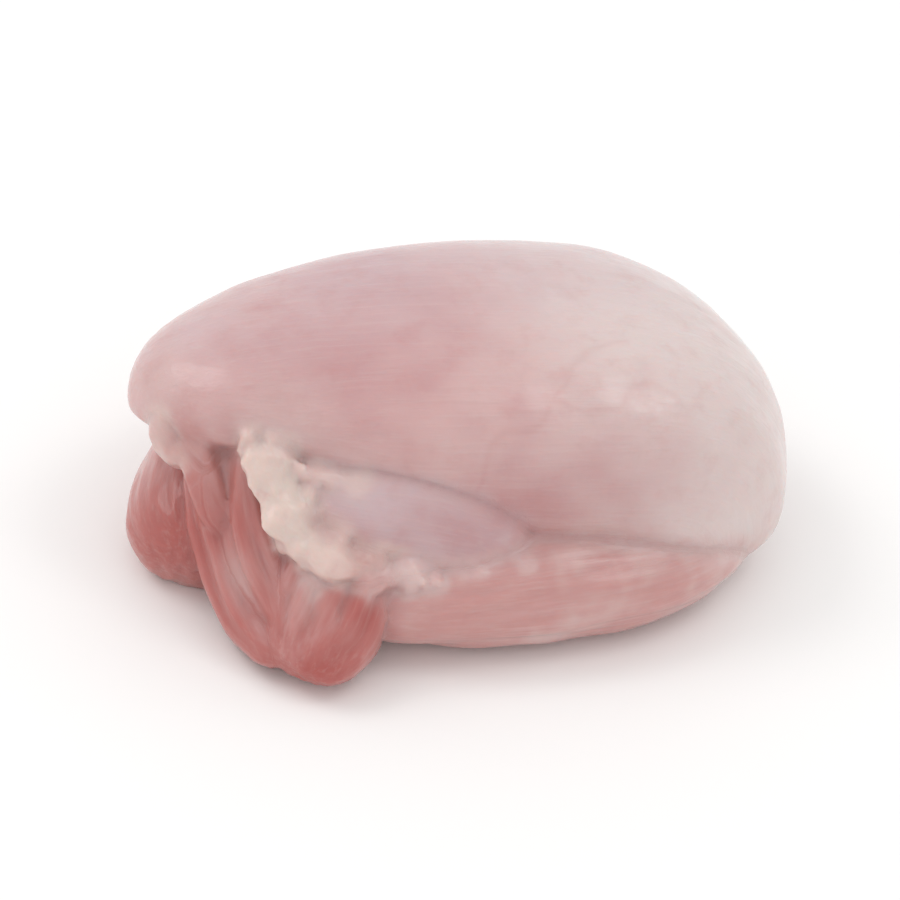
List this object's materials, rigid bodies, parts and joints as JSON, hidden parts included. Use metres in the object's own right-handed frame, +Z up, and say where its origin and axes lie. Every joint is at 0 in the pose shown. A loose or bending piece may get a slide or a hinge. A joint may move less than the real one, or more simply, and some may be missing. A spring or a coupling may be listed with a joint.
{
  "type": "raw chicken thigh",
  "caption": "Raw skinned and boned chicken thigh, folded under on itself with the smooth outer muscle on top and the open end's straps, fat seam and inner muscle showing.",
  "frame": {"origin": "middle of the bounding box's underside, on the surface that the thigh lies on", "axes": "+X along the thigh from its open end to its closed end, +Y to the back, +Z up through the smooth outer muscle"},
  "size_m": [0.09, 0.06, 0.037],
  "materials": {
    "raw_meat": "moist raw poultry meat, pale rose pink, satin with a thin wet gloss"
  },
  "bodies": {
    "root": {"chicken_thigh": "raw_meat"}
  },
  "joints": []
}
